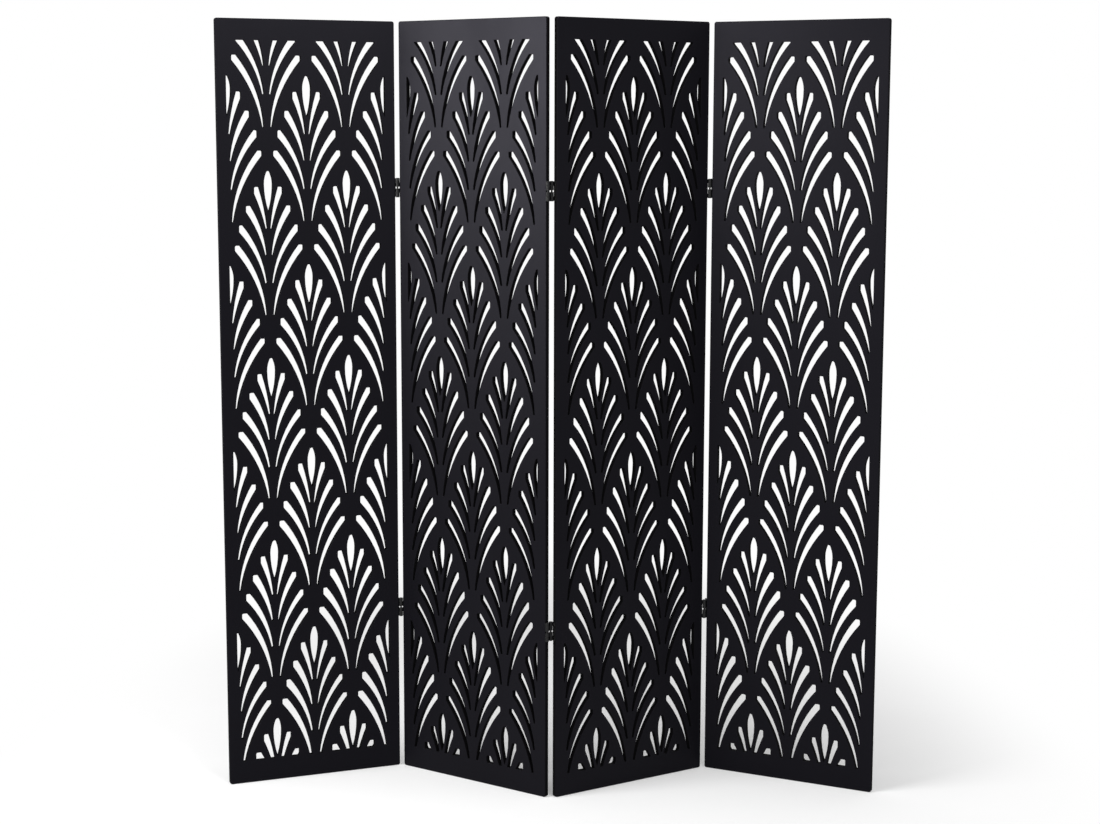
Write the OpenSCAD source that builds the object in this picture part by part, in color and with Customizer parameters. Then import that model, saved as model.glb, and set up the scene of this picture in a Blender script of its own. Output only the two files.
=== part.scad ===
// Four-panel folding screen: pierced boards joined by two-way hinges.
// Millimetres, Z up, fronts toward -Y, standing on Z = 0 in its zigzag pose.

/* [Panels] */
// Height of each panel
panel_h = 1700; // [1500:10:1900]
// Width of each panel
panel_w = 400; // [385:5:450]
// Thickness of each board
board_t = 12; // [10:1:16]
// Radius of each panel's corners
corner_r = 5; // [3:1:18]
// Radius that eases the board's outer edges
edge_r = 1.5; // [0.5:0.5:3]

/* [Fan pattern] */
// Distance between neighbouring fans in a row
fan_pitch = 177.5; // [150:0.5:190]
// Distance from one row of fans to the next, as a share of the fan pitch
row_ratio = 1.156; // [1.15:0.002:1.19]
// Solid border down each side
side_border = 22; // [20:1:40]
// Solid border along the top
top_border = 46; // [40:1:80]
// Solid border along the bottom
bottom_border = 49.5; // [40:0.5:80]

/* [Folds] */
// Clear gap between two neighbouring boards
fold_gap = 9.7; // [9:0.1:12]
// Angle of the left fold in the standing pose
fold_left = 56.4; // [20:0.1:90]
// Angle of the middle fold in the standing pose
fold_middle = 67.5; // [20:0.1:90]
// Angle of the right fold in the standing pose
fold_right = 59.2; // [20:0.1:90]
// Turn of the second panel in the standing pose
turn = -34.05; // [-60:0.05:0]

/* [Hinges] */
// Height of each hinge
hinge_h = 43; // [36:1:60]
// Distance from the top of the panels to the middle of the upper hinges
upper_inset = 365; // [200:1:450]
// Distance from the floor to the middle of the lower hinges
lower_inset = 376; // [200:1:450]
// Diameter of the hinge pins
pin_d = 4; // [3:0.2:5]
// Thickness of the hinge leaves
leaf_t = 1.5; // [1.2:0.1:1.8]
// Distance of each pin's axis outside the board's face
pin_proud = 1; // [0.5:0.1:3]
// Core diameter of the wood screws
screw_d = 3; // [2:0.2:4]
// Length of the wood screws
screw_len = 16; // [10:1:18]

/* [Hidden] */
$fn = 96;

// running clearances and small hinge sizes
pin_clear = 0.05;
side_clear = 0.65;
end_clear = 0.15;
head_clear = 0.1;
swing_clear = 0.4;
mid_gap = 4;
head_t = 0.8;
head_step = 0.4;
head_ease = 0.5;
link_t = 1.6;
screw_rim = 1.5;
screw_inset = 6;
screw_point_d = 0.4;
cross_w = 0.7;

gap2 = fold_gap / 2;
pin_y = board_t / 2 + pin_proud;
pin_span = 2 * pin_y;
barrel_r = gap2 - side_clear;
barrel_h = hinge_h - 2 * head_t;
knuckle_h = (barrel_h - mid_gap) / 4;
// how far a leaf plate must keep off a barrel that turns beside it
plate_x = gap2 - leaf_t;
shy = sqrt(max(0, barrel_r * barrel_r - plate_x * plate_x)) + swing_clear;
screw_head_d = min(2 * screw_d, pin_span - 2 * shy - screw_rim);
screw_z = hinge_h / 2 - screw_inset;

upper_z = panel_h - upper_inset;
lower_z = lower_inset;
hinge_zs = [upper_z, lower_z];

// Fan pattern sizes, all set out on a fan pitch of 177.5 and scaled from there.
motif_s = fan_pitch / 177.5;
row_pitch = fan_pitch * row_ratio;
// the row that the top border cuts has its first leaves end just above the cut
first_row = panel_h - top_border + 130 * motif_s;
rows = ceil((first_row - bottom_border) / row_pitch);
window_w = panel_w - 2 * side_border;
// width, height, depth of the widest part below the top, radius of the top
petal = [20, 90, 28, 5];
// inner edge [x, y, r], outer edge [x, y, r], round tail end [x, y, r],
// then the head's side, its top and the radius of its corner
leaf_1 = [[429.2, -162.6, 427.8], [408.7, -213.0, 410.9], [5.4, -123.5, 2.5], 31.9, -34.6, 3];
leaf_2 = [[247.8, -201.7, 243.5], [274.1, -243.5, 272.0], [7.1, -181.7, 2.25], 50.5, -75.6, 3];
leaf_3 = [[248.0, -270.3, 244.0], [239.0, -288.8, 233.1], [8.0, -242.8, 2.73], 66.5, -117.5, 3];
leaf_4 = [[271.9, -328.0, 265.2], [297.9, -360.6, 290.4], [9.2, -313.6, 2.35], 76.6, -161.5, 3];

// Frames in plan: [x, y, angle].
function at(f, p) = [f[0] + p[0] * cos(f[2]) - p[1] * sin(f[2]),
                     f[1] + p[0] * sin(f[2]) + p[1] * cos(f[2])];
function then(f, g) = [at(f, g)[0], at(f, g)[1], f[2] + g[2]];

// Standing pose. A hinge frame has its origin on the front pin, its back pin on +Y.
f_panel_2 = [0, 0, turn];
f_link_12 = then(f_panel_2, [-gap2, -pin_y, 0]);
f_left_12 = then(f_link_12, [0, 0, fold_left]);
f_panel_1 = then(f_left_12, [-panel_w - gap2, pin_y, 0]);
f_link_23 = then(f_panel_2, [panel_w + gap2, -pin_y, 0]);
f_back_23 = then(f_link_23, [0, pin_span, fold_middle]);
f_right_23 = then(f_back_23, [0, -pin_span, 0]);
f_panel_3 = then(f_right_23, [gap2, pin_y, 0]);
f_left_34 = then(f_panel_3, [panel_w + gap2, -pin_y, 0]);
f_link_34 = then(f_left_34, [0, 0, -fold_right]);
f_panel_4 = then(f_link_34, [gap2, pin_y, 0]);

// The plan's box, from the boards' eased corners and the hinge barrels.
panel_frames = [f_panel_1, f_panel_2, f_panel_3, f_panel_4];
link_frames = [f_link_12, f_link_23, f_link_34];
inner_t = board_t / 2 - edge_r;
edge_spots = [for (f = panel_frames, x = [edge_r, panel_w - edge_r], y = [-inner_t, inner_t])
    [at(f, [x, y]), edge_r]];
barrel_spots = [for (f = link_frames, y = [0, pin_span]) [at(f, [0, y]), barrel_r]];
spots = concat(edge_spots, barrel_spots);
min_x = min([for (s = spots) s[0][0] - s[1]]);
max_x = max([for (s = spots) s[0][0] + s[1]]);
min_y = min([for (s = spots) s[0][1] - s[1]]);
max_y = max([for (s = spots) s[0][1] + s[1]]);
mid_x = (min_x + max_x) / 2;
mid_y = (min_y + max_y) / 2;

// Names of the pieces: the boards, then seven pieces for each of the six hinges.
folds = ["12", "23", "34"];
levels = ["upper", "lower"];
pieces = ["left_leaf", "link", "right_leaf", "front_pin", "back_pin",
          "left_screws", "right_screws"];

// Moves a piece from a plan frame into the object's frame.
module place(f, z = 0) {
    translate([f[0] - mid_x, f[1] - mid_y, z])
        rotate([0, 0, f[2]])
            children();
}

// One curved leaf of a fan: the sliver between two arcs, its head cut square, its tail round.
module fan_leaf(a) {
    inner = a[0];
    outer = a[1];
    tail = a[2];
    side = a[3];
    top = a[4];
    head_r = a[5];
    intersection() {
        difference() {
            translate([inner[0], inner[1]])
                circle(r = inner[2]);
            translate([outer[0], outer[1]])
                circle(r = outer[2]);
        }
        union() {
            translate([0, tail[1]])
                square([side, top - head_r - tail[1]]);
            translate([0, tail[1]])
                square([side - head_r, top - tail[1]]);
            translate([side - head_r, top - head_r])
                circle(r = head_r);
            translate([tail[0], tail[1]])
                circle(r = tail[2]);
        }
    }
}

// The drop-shaped petal in the middle of a fan, its top on the origin.
module fan_petal() {
    w2 = petal[0] / 2;
    waist = petal[2];
    top_r = petal[3];
    drop = waist - top_r;
    foot = petal[1] - waist;
    crown_r = 1.12 * top_r;
    upper_r = (w2 * w2 + drop * drop - top_r * top_r) / (2 * (w2 - top_r));
    lower_r = (w2 * w2 + foot * foot) / (2 * w2);
    translate([0, -waist])
        intersection() {
            translate([upper_r - w2, 0])
                circle(r = upper_r);
            translate([w2 - upper_r, 0])
                circle(r = upper_r);
            union() {
                translate([-w2 - 1, 0])
                    square([2 * w2 + 2, waist - crown_r]);
                translate([0, waist - crown_r])
                    circle(r = crown_r);
            }
        }
    translate([0, -waist])
        intersection() {
            translate([lower_r - w2, 0])
                circle(r = lower_r);
            translate([w2 - lower_r, 0])
                circle(r = lower_r);
            translate([-w2 - 1, 2 - foot])
                square([2 * w2 + 2, foot - 2]);
        }
}

module fan_side() {
    fan_leaf(leaf_1);
    fan_leaf(leaf_2);
    fan_leaf(leaf_3);
    fan_leaf(leaf_4);
}

// A fan, drawn whole or with only the leaves that face the window.
module fan(right = true, left = true) {
    scale([motif_s, motif_s, 1]) {
        fan_petal();
        if (right)
            fan_side();
        if (left)
            mirror([1, 0, 0])
                fan_side();
    }
}

// All the fans that show in the window inside the borders.
module fans() {
    intersection() {
        translate([side_border, bottom_border])
            square([window_w, panel_h - top_border - bottom_border]);
        for (row = [0 : rows - 1])
            for (n = [-3 : 3]) {
                x = (n + (row % 2 == 0 ? 0.5 : 0)) * fan_pitch;
                if (abs(x) < window_w / 2 + 74 * motif_s)
                    translate([panel_w / 2 + x, first_row - row * row_pitch])
                        fan(right = x < window_w / 2 - 5 * motif_s,
                            left = x > 5 * motif_s - window_w / 2);
            }
    }
}

// Half of the board's edge in section: flat faces and eased corners at x = 0.
module edge_section(w) {
    translate([edge_r, -board_t / 2])
        square([w - edge_r, board_t]);
    translate([0, -inner_t])
        square([edge_r, 2 * inner_t]);
    for (y = [-inner_t, inner_t])
        translate([edge_r, y])
            circle(r = edge_r);
}

// Board edges along x = 0, along z = 0, and the quarter round between them.
module side_edge() {
    translate([0, 0, corner_r])
        linear_extrude(panel_h - 2 * corner_r)
            edge_section(corner_r);
}

module end_edge() {
    translate([panel_w - corner_r, 0, 0])
        rotate([0, -90, 0])
            linear_extrude(panel_w - 2 * corner_r)
                edge_section(corner_r);
}

module corner_edge() {
    translate([corner_r, 0, corner_r])
        rotate([90, 0, 0])
            rotate([0, 0, 180])
                rotate_extrude(angle = 90)
                    translate([corner_r, 0])
                        mirror([1, 0])
                            edge_section(corner_r);
}

module blank() {
    translate([corner_r, -board_t / 2, corner_r])
        cube([panel_w - 2 * corner_r, board_t, panel_h - 2 * corner_r]);
    side_edge();
    translate([panel_w, 0, 0])
        mirror([1, 0, 0])
            side_edge();
    end_edge();
    translate([0, 0, panel_h])
        mirror([0, 0, 1])
            end_edge();
    for (right = [0, 1], top = [0, 1])
        translate([right * panel_w, 0, top * panel_h])
            mirror([right, 0, 0])
                mirror([0, 0, top])
                    corner_edge();
}

// Pilot bores in a board's edges, on the axes of the hinge screws.
module pilot_bores(side) {
    for (hz = hinge_zs, s = [-1, 1])
        translate([side * panel_w, 0, hz + s * screw_z])
            rotate([0, 90, 0])
                translate([0, 0, -screw_len + leaf_t])
                    cylinder(d = screw_d, h = 2 * (screw_len - leaf_t));
}

module board(left_hinge, right_hinge) {
    difference() {
        blank();
        translate([0, board_t, 0])
            rotate([90, 0, 0])
                linear_extrude(2 * board_t)
                    fans();
        if (left_hinge)
            pilot_bores(0);
        if (right_hinge)
            pilot_bores(1);
    }
}

// Hinge pieces, in the hinge frame with z = 0 at mid-height.
// A leaf's two outer knuckles turn on the front pin; its plate lies on the board's edge.
module leaf() {
    hole_z = [-screw_z, screw_z];
    difference() {
        union() {
            translate([-gap2, shy, -hinge_h / 2 + head_t])
                cube([leaf_t, pin_span - 2 * shy, barrel_h]);
            for (top = [0, 1])
                mirror([0, 0, top])
                    translate([0, 0, barrel_h / 2 - knuckle_h + end_clear]) {
                        cylinder(r = barrel_r, h = knuckle_h - end_clear);
                        translate([-gap2, -barrel_r * 0.3, 0])
                            cube([leaf_t, shy + 1 + barrel_r * 0.3, knuckle_h - end_clear]);
                    }
        }
        translate([0, 0, -hinge_h])
            cylinder(d = pin_d + 2 * pin_clear, h = 2 * hinge_h);
        for (z = hole_z)
            translate([-gap2, pin_span / 2, z])
                rotate([0, 90, 0]) {
                    translate([0, 0, -1])
                        cylinder(d = screw_d, h = leaf_t + 2);
                    cylinder(d1 = screw_d, d2 = screw_head_d, h = leaf_t);
                }
    }
}

// The two links tie the pins together: each is a strip rolled round both.
module link() {
    for (top = [0, 1])
        mirror([0, 0, top])
            translate([0, 0, mid_gap / 2])
                difference() {
                    union() {
                        for (y = [0, pin_span])
                            translate([0, y, 0])
                                cylinder(r = barrel_r, h = knuckle_h);
                        translate([-link_t / 2, 0, 0])
                            cube([link_t, pin_span, knuckle_h]);
                    }
                    for (y = [0, pin_span])
                        translate([0, y, -1])
                            cylinder(d = pin_d, h = knuckle_h + 2);
                }
}

module pin() {
    translate([0, 0, -barrel_h / 2 - head_clear])
        cylinder(d = pin_d, h = barrel_h + 2 * head_clear);
    for (top = [0, 1])
        mirror([0, 0, top])
            translate([0, 0, barrel_h / 2 + head_clear]) {
                cylinder(r = barrel_r - head_step, h = head_t / 2);
                translate([0, 0, head_t / 2])
                    cylinder(r1 = barrel_r - head_step, r2 = barrel_r - head_step - head_ease,
                             h = head_t / 2);
            }
}

// Countersunk screws, driven from the gap into the board's edge.
module screws() {
    for (z = [-screw_z, screw_z])
        translate([-gap2 + leaf_t, pin_span / 2, z])
            rotate([0, -90, 0])
                difference() {
                    union() {
                        cylinder(d1 = screw_head_d, d2 = screw_d, h = leaf_t);
                        cylinder(d = screw_d, h = screw_len - screw_d);
                        translate([0, 0, screw_len - screw_d])
                            cylinder(d1 = screw_d, d2 = screw_point_d, h = screw_d);
                    }
                    for (a = [0, 90])
                        rotate([0, 0, a])
                            translate([-screw_head_d * 0.32, -cross_w / 2, -1])
                                cube([screw_head_d * 0.64, cross_w, 1 + leaf_t * 0.6]);
                }
}

// The right-hand pieces are the left-hand ones turned half round the link.
module turned() {
    translate([0, pin_span, 0])
        rotate([0, 0, 180])
            children();
}

module hinge_piece(f_left, f_link, f_right, z, piece) {
    if (piece == "left_leaf")
        color([0.06, 0.06, 0.065])
            place(f_left, z)
                leaf();
    if (piece == "link")
        color([0.10, 0.10, 0.11])
            place(f_link, z)
                link();
    if (piece == "right_leaf")
        color([0.06, 0.06, 0.065])
            place(f_right, z)
                turned()
                    leaf();
    if (piece == "front_pin")
        color([0.16, 0.16, 0.17])
            place(f_link, z)
                pin();
    if (piece == "back_pin")
        color([0.16, 0.16, 0.17])
            place(f_link, z)
                translate([0, pin_span, 0])
                    pin();
    if (piece == "left_screws")
        color([0.2, 0.2, 0.21])
            place(f_left, z)
                screws();
    if (piece == "right_screws")
        color([0.2, 0.2, 0.21])
            place(f_right, z)
                turned()
                    screws();
}

module panel_1() {
    color([0.05, 0.05, 0.055])
        place(f_panel_1)
            board(false, true);
}

module panel_2() {
    color([0.07, 0.07, 0.075])
        place(f_panel_2)
            board(true, true);
}

module panel_3() {
    color([0.05, 0.05, 0.055])
        place(f_panel_3)
            board(true, true);
}

module panel_4() {
    color([0.06, 0.06, 0.065])
        place(f_panel_4)
            board(true, false);
}

module hinge_12(z, piece) {
    hinge_piece(f_left_12, f_link_12, f_link_12, z, piece);
}

module hinge_23(z, piece) {
    hinge_piece(f_link_23, f_link_23, f_right_23, z, piece);
}

module hinge_34(z, piece) {
    hinge_piece(f_left_34, f_link_34, f_link_34, z, piece);
}

panel_1();
panel_2();
panel_3();
panel_4();
for (p = pieces) {
    hinge_12(upper_z, p);
    hinge_12(lower_z, p);
    hinge_23(upper_z, p);
    hinge_23(lower_z, p);
    hinge_34(upper_z, p);
    hinge_34(lower_z, p);
}
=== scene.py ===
"""Looks of the folding screen: painted boards, black hinges, pale floor, soft light."""
import math

import bpy
from mathutils import Matrix, Vector

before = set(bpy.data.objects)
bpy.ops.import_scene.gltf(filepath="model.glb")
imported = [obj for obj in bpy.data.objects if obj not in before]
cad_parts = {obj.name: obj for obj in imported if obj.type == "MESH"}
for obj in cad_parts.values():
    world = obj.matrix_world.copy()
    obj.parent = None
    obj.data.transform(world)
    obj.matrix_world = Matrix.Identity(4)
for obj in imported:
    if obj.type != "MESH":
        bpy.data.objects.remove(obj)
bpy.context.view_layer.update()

# Camera: the picture's width and the focal length in pixels, then the place and axes, in metres.
PHOTO_W = 1100
FOCAL_PX = 2012.4
SENSOR_W = 36.0
CLIP_END = 60.0
CAM_POS = (0.05777, -4.40809, 1.47229)
CAM_RIGHT = (0.999906, 0.013559, 0.002228)
CAM_UP = (-0.004114, 0.140731, 0.990039)

# Lamps: name, place, target, size in metres and power in watts.
LAMPS = [
    ("key", (-2.97, -1.65, 1.85), (0.0, 0.0, 1.2), (2.0, 0.8), 119.0),
    ("key_low", (-3.2, -1.2, 1.0), (0.0, 0.0, 1.0), (1.0, 0.8), 9.5),
    ("fill", (1.4, -2.7, 2.6), (0.0, 0.0, 1.2), (1.4, 1.4), 52.0),
    ("overhead", (0.0, -0.2, 4.4), (0.0, 0.0, 0.0), (3.2, 2.2), 41.0),
]
WORLD_LIGHT = 0.35

# White that renders as pure white where the camera sees it.
WHITE = (1, 1, 1, 1)
WHITE_LEVEL = 1.0

# Floor: half its side and its drop below the boards, the two tones of its paper, its glow, and
# the oval, half as fast in depth as in width, over which it fades to white.
FLOOR_HALF = 12.0
FLOOR_DROP = 0.0005
FLOOR_TONES = (0.80, 0.82)
FLOOR_NOISE = (1.7, 3.0, 0.5, 40.0)
FLOOR_GLOW = 0.18
FADE_SHAPE = (1.0, 0.5, 1.0)
FADE_FROM, FADE_TO = 0.7, 1.3

# Turn of each board in plan, in degrees.
BOARD_TURN = {"panel_1": 22.35, "panel_2": -34.05, "panel_3": 33.45, "panel_4": -25.75}

# Board colours: lacquer, rubbed rims, the fibre of the slot walls darkened as painted shade, and
# dust.
PAINT_DARK = (0.0026, 0.0024, 0.0036, 1.0)
PAINT_LIGHT = (0.0035, 0.0033, 0.0047, 1.0)
PAINT_RUBBED = (0.014, 0.013, 0.013, 1.0)
CUT_SHADED_DARK = (0.0012, 0.0011, 0.0012, 1.0)
CUT_SHADED_LIGHT = (0.0026, 0.0024, 0.0024, 1.0)
DUST_COLOUR = (0.05, 0.05, 0.05, 1.0)
RUBBED_SHARE = 0.55
DUST_SHARE = 0.25

# Board textures: scale per metre, detail, roughness and seed of each noise.
CLOUD = (2.3, 3.0, 0.55, 1.0)
SMUDGE = (9.0, 4.0, 0.6, 2.0)
PEEL = (620.0, 2.0, 0.5, 3.0)
ROLLER = (170.0, 2.0, 0.5, 4.0)
FIBRE = (1500.0, 3.0, 0.65, 5.0)
DUST = (900.0, 1.0, 0.5, 6.0)
RUB = (38.0, 3.0, 0.6, 7.0)
SMUDGE_STRETCH = (1.0, 1.0, 0.45)
ROLLER_STRETCH = (1.0, 1.0, 0.25)

# Board gloss: roughness of the smudged lacquer, what the clouds, cut walls and rubbing change.
SMUDGE_ROUGH = (0.345, 0.385)
CLOUD_ROUGH = (-0.015, 0.02)
WALL_ROUGH = 0.62
RUBBED_SMOOTH = 0.06
BOARD_SPECULAR = 0.0885
BOARD_IOR = 1.48
BOARD_TINT = (0.865, 0.84, 1.0, 1.0)

# Board relief: radius of the rims, then the shares and depths of the lacquer and the fibre.
BOARD_RIM = 0.0009
PEEL_SHARE, ROLLER_SHARE = 0.5, 0.9
LACQUER_BUMP, LACQUER_DEPTH = 0.3, 0.00012
FIBRE_BUMP, FIBRE_DEPTH = 0.5, 0.0002

# Steel finishes: base colour, lowest and highest roughness, grain per metre, rubbed colour, seed.
STEELS = {
    "hinge_coat": ((0.005, 0.005, 0.0056, 1.0), 0.3, 0.42, 900.0,
                   (0.05, 0.049, 0.048, 1.0), 11.0),
    "pin_oxide": ((0.008, 0.008, 0.009, 1.0), 0.22, 0.32, 1400.0,
                  (0.16, 0.155, 0.15, 1.0), 21.0),
    "screw_oxide": ((0.012, 0.012, 0.0125, 1.0), 0.26, 0.38, 1600.0,
                    (0.2, 0.195, 0.19, 1.0), 31.0),
}
STEEL_PATCH = (120.0, 4.0, 0.6)
STEEL_FINE = (2.0, 0.5)
STEEL_DARKER = 0.7
STEEL_RUBBED = 0.6
STEEL_SMOOTH = 0.08
STEEL_METAL = 0.7
STEEL_SPECULAR = 0.22
STEEL_RIM = 0.0005
STEEL_BUMP, STEEL_DEPTH = 0.25, 0.0001

BEVEL_SAMPLES = 6


class Nodes:
    """Short way to add and join the nodes of one tree."""

    def __init__(self, tree):
        self.tree = tree
        self.tree.nodes.clear()

    def add(self, kind, values=None, **settings):
        node = self.tree.nodes.new(kind)
        for name, value in settings.items():
            setattr(node, name, value)
        for key, value in (values or {}).items():
            if isinstance(value, bpy.types.NodeSocket):
                self.tree.links.new(value, node.inputs[key])
            else:
                node.inputs[key].default_value = value
        return node

    def math(self, operation, a, b=0.0, clamp=False):
        node = self.add("ShaderNodeMath", {0: a, 1: b}, operation=operation, use_clamp=clamp)
        return node.outputs[0]

    def ramp(self, value, low, high, to_low=0.0, to_high=1.0):
        node = self.add("ShaderNodeMapRange", {"Value": value, "From Min": low, "From Max": high,
                                               "To Min": to_low, "To Max": to_high})
        node.interpolation_type = "SMOOTHSTEP"
        return node.outputs["Result"]

    def noise(self, coords, scale, detail, rough, seed):
        node = self.add("ShaderNodeTexNoise", {"Vector": coords, "Scale": scale, "Detail": detail,
                                               "Roughness": rough, "W": seed},
                        noise_dimensions="4D")
        return node.outputs["Fac"]

    def mix(self, factor, a, b):
        node = self.add("ShaderNodeMix", {0: factor, 6: a, 7: b}, data_type="RGBA")
        return node.outputs[2]

    def stretch(self, vector, scale):
        node = self.add("ShaderNodeMapping", {"Vector": vector, "Scale": scale})
        return node.outputs["Vector"]

    def dot(self, a, b):
        node = self.add("ShaderNodeVectorMath", {0: a, 1: b}, operation="DOT_PRODUCT")
        return node.outputs["Value"]

    def rims(self, radius):
        """Rounded normals for the light to catch, and how far they are from the flat ones."""
        bevel = self.add("ShaderNodeBevel", {"Radius": radius}, samples=BEVEL_SAMPLES)
        geometry = self.add("ShaderNodeNewGeometry")
        return bevel.outputs[0], self.dot(bevel.outputs[0], geometry.outputs["Normal"])

    def bump(self, strength, depth, height, normal):
        node = self.add("ShaderNodeBump", {"Strength": strength, "Distance": depth,
                                           "Height": height, "Normal": normal})
        return node.outputs[0]


def new_material(name):
    material = bpy.data.materials.new(name)
    material.use_nodes = True
    return material, Nodes(material.node_tree)


def finish_material(n, shader):
    n.add("ShaderNodeOutputMaterial", {"Surface": shader.outputs[0]})


def board_material(name, turn):
    """Black satin lacquer on fibreboard, with rougher slot walls whose darker colour is painted
    shade.
    """
    material, n = new_material(name)
    coords = n.add("ShaderNodeTexCoord")
    at = coords.outputs["Object"]
    angle = math.radians(turn)
    facing = n.dot(coords.outputs["Normal"], (-math.sin(angle), math.cos(angle), 0.0))
    wall = n.ramp(n.math("ABSOLUTE", facing), 0.9, 0.25)
    rounded, same = n.rims(BOARD_RIM)
    rim = n.ramp(same, 0.995, 0.86)

    cloud = n.noise(at, *CLOUD)
    smudge = n.noise(n.stretch(at, SMUDGE_STRETCH), *SMUDGE)
    peel = n.noise(at, *PEEL)
    roller = n.noise(n.stretch(at, ROLLER_STRETCH), *ROLLER)
    fibre = n.noise(at, *FIBRE)
    dust = n.ramp(n.noise(at, *DUST), 0.735, 0.78)
    rubbed = n.math("MULTIPLY", rim, n.ramp(n.noise(at, *RUB), 0.42, 0.68))

    paint = n.mix(n.ramp(cloud, 0.3, 0.7), PAINT_DARK, PAINT_LIGHT)
    paint = n.mix(n.math("MULTIPLY", rubbed, RUBBED_SHARE), paint, PAINT_RUBBED)
    # Slot and edge walls: fibre grain in a colour darkened as painted shade.
    wall_fibre_shaded = n.mix(n.ramp(fibre, 0.35, 0.7), CUT_SHADED_DARK, CUT_SHADED_LIGHT)
    colour = n.mix(wall, paint, wall_fibre_shaded)
    colour = n.mix(n.math("MULTIPLY", dust, DUST_SHARE), colour, DUST_COLOUR)

    gloss = n.math("ADD", n.ramp(smudge, 0.3, 0.7, *SMUDGE_ROUGH),
                   n.ramp(cloud, 0.3, 0.7, *CLOUD_ROUGH))
    gloss = n.math("ADD", gloss, n.math("MULTIPLY", wall, WALL_ROUGH))
    gloss = n.math("SUBTRACT", gloss, n.math("MULTIPLY", rubbed, RUBBED_SMOOTH), clamp=True)

    height = n.math("ADD", n.math("MULTIPLY", peel, PEEL_SHARE),
                    n.math("MULTIPLY", roller, ROLLER_SHARE))
    lacquer = n.bump(LACQUER_BUMP, LACQUER_DEPTH, height, rounded)
    normal = n.bump(n.math("MULTIPLY", wall, FIBRE_BUMP), FIBRE_DEPTH, fibre, lacquer)
    shader = n.add("ShaderNodeBsdfPrincipled", {"Base Color": colour, "Roughness": gloss,
                                                "Specular IOR Level": BOARD_SPECULAR,
                                                "IOR": BOARD_IOR, "Specular Tint": BOARD_TINT,
                                                "Normal": normal})
    finish_material(n, shader)
    return material


def steel_material(name, base, rough_low, rough_high, grain, rubbed_colour, seed):
    """Blackened steel: an even coat, a little lighter and smoother where it rubs."""
    material, n = new_material(name)
    at = n.add("ShaderNodeTexCoord").outputs["Object"]
    rounded, same = n.rims(STEEL_RIM)
    rim = n.ramp(same, 0.99, 0.8)
    patch = n.noise(at, *STEEL_PATCH, seed)
    fine = n.noise(at, grain, *STEEL_FINE, seed + 1.0)
    rubbed = n.math("MULTIPLY", rim, n.ramp(patch, 0.4, 0.65))
    darker = tuple(STEEL_DARKER * c for c in base[:3]) + (1.0,)
    colour = n.mix(n.ramp(patch, 0.3, 0.7), darker, base)
    colour = n.mix(n.math("MULTIPLY", rubbed, STEEL_RUBBED), colour, rubbed_colour)
    gloss = n.ramp(fine, 0.3, 0.7, rough_low, rough_high)
    gloss = n.math("SUBTRACT", gloss, n.math("MULTIPLY", rubbed, STEEL_SMOOTH), clamp=True)
    metal = n.ramp(rubbed, 0.2, 0.8, 0.0, STEEL_METAL)
    normal = n.bump(STEEL_BUMP, STEEL_DEPTH, fine, rounded)
    shader = n.add("ShaderNodeBsdfPrincipled", {"Base Color": colour, "Roughness": gloss,
                                                "Metallic": metal,
                                                "Specular IOR Level": STEEL_SPECULAR,
                                                "Normal": normal})
    finish_material(n, shader)
    return material


def dress():
    """Gives each board its lacquer, and each piece of the hinges its steel."""
    steels = {name: steel_material(name, *values) for name, values in STEELS.items()}
    for name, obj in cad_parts.items():
        if name in BOARD_TURN:
            material = board_material("lacquer_" + name, BOARD_TURN[name])
        elif name.endswith("_pin"):
            material = steels["pin_oxide"]
        elif name.endswith("_screws"):
            material = steels["screw_oxide"]
        else:
            material = steels["hinge_coat"]
        obj.data.materials.clear()
        obj.data.materials.append(material)


def seen_rays(n):
    """One for the rays that show the background: straight, mirrored or through glass."""
    path = n.add("ShaderNodeLightPath")
    mirrored = n.math("MAXIMUM", path.outputs["Is Glossy Ray"],
                      path.outputs["Is Transmission Ray"])
    return n.math("MAXIMUM", path.outputs["Is Camera Ray"], mirrored)


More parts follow.
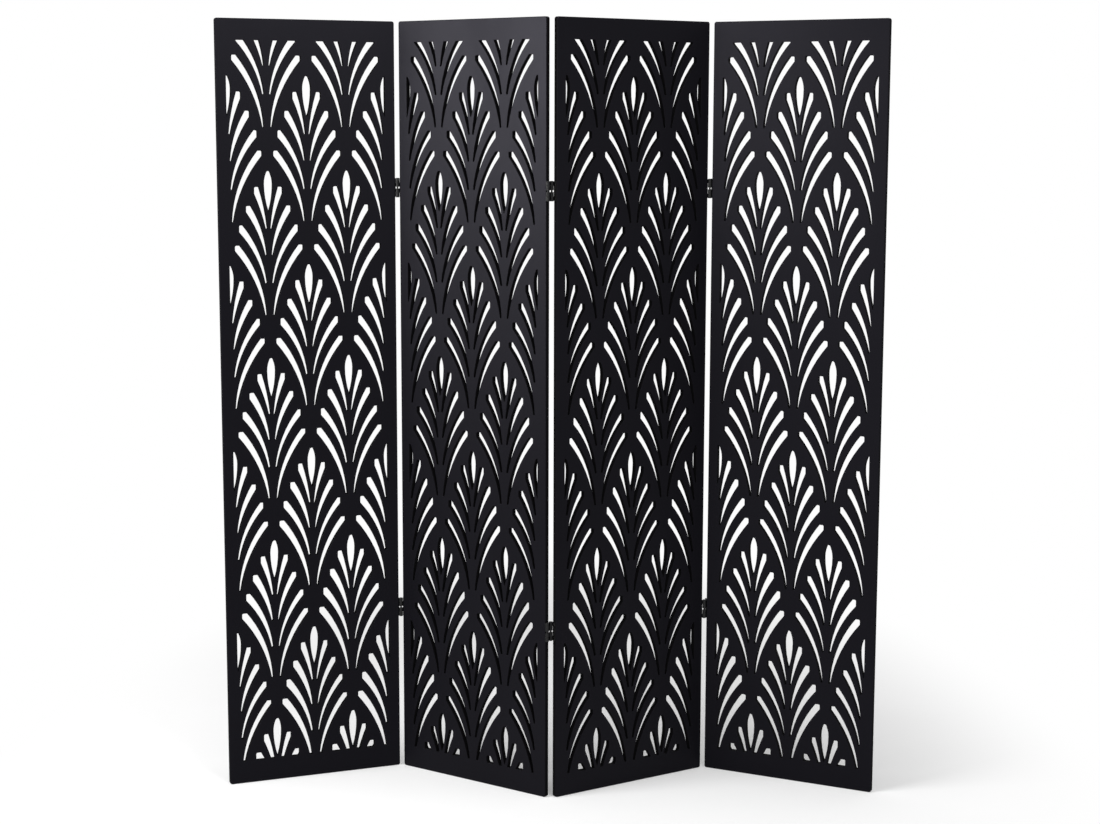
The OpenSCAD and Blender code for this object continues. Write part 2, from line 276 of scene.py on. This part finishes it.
def make_floor():
    """A pale floor that keeps the shadow and fades to the white of the background."""
    mesh = bpy.data.meshes.new("floor")
    h = FLOOR_HALF
    mesh.from_pydata([(-h, -h, 0), (h, -h, 0), (h, h, 0), (-h, h, 0)], [], [(0, 1, 2, 3)])
    floor = bpy.data.objects.new("floor", mesh)
    bpy.context.collection.objects.link(floor)
    floor.location.z = -FLOOR_DROP
    material, n = new_material("floor_paper")
    at = n.add("ShaderNodeTexCoord").outputs["Object"]
    away = n.add("ShaderNodeVectorMath", {0: n.stretch(at, FADE_SHAPE)},
                 operation="LENGTH").outputs["Value"]
    far = n.ramp(away, FADE_FROM, FADE_TO)
    tone = n.ramp(n.noise(at, *FLOOR_NOISE), 0.3, 0.7, *FLOOR_TONES)
    colour = n.add("ShaderNodeCombineColor", {"Red": tone, "Green": tone, "Blue": tone})
    matt = n.add("ShaderNodeBsdfDiffuse", {"Color": colour.outputs[0]})
    glow = n.add("ShaderNodeEmission", {"Color": WHITE, "Strength": FLOOR_GLOW})
    near = n.add("ShaderNodeAddShader", {0: matt.outputs[0], 1: glow.outputs[0]})
    white = n.add("ShaderNodeEmission", {"Color": WHITE, "Strength": WHITE_LEVEL})
    looked = n.add("ShaderNodeMixShader", {0: far, 1: near.outputs[0], 2: white.outputs[0]})
    both = n.add("ShaderNodeMixShader", {0: seen_rays(n), 1: matt.outputs[0],
                                         2: looked.outputs[0]})
    finish_material(n, both)
    mesh.materials.append(material)


def make_world():
    """White to the camera and in reflections, a plain soft level for the light."""
    world = bpy.data.worlds.new("studio")
    bpy.context.scene.world = world
    world.use_nodes = True
    n = Nodes(world.node_tree)
    light = n.add("ShaderNodeBackground", {"Color": WHITE, "Strength": WORLD_LIGHT})
    white = n.add("ShaderNodeBackground", {"Color": WHITE, "Strength": WHITE_LEVEL})
    both = n.add("ShaderNodeMixShader", {0: seen_rays(n), 1: light.outputs[0],
                                         2: white.outputs[0]})
    n.add("ShaderNodeOutputWorld", {"Surface": both.outputs[0]})


def make_lights():
    for name, place, target, size, power in LAMPS:
        data = bpy.data.lights.new(name, "AREA")
        data.shape = "RECTANGLE"
        data.size, data.size_y = size
        data.energy = power
        lamp = bpy.data.objects.new(name, data)
        bpy.context.collection.objects.link(lamp)
        lamp.location = place
        aim = Vector(target) - Vector(place)
        lamp.rotation_euler = aim.to_track_quat("-Z", "Y").to_euler()


def make_camera():
    data = bpy.data.cameras.new("camera")
    data.sensor_fit = "HORIZONTAL"
    data.sensor_width = SENSOR_W
    data.lens = SENSOR_W * FOCAL_PX / PHOTO_W
    data.clip_end = CLIP_END
    camera = bpy.data.objects.new("camera", data)
    bpy.context.collection.objects.link(camera)
    right, up = Vector(CAM_RIGHT).normalized(), Vector(CAM_UP).normalized()
    back = right.cross(up)
    rows = [(right[i], up[i], back[i], CAM_POS[i]) for i in range(3)] + [(0, 0, 0, 1)]
    camera.matrix_world = Matrix(rows)
    bpy.context.scene.camera = camera


bpy.context.scene.view_settings.view_transform = "Standard"
make_camera()
make_world()
make_lights()
make_floor()
dress()
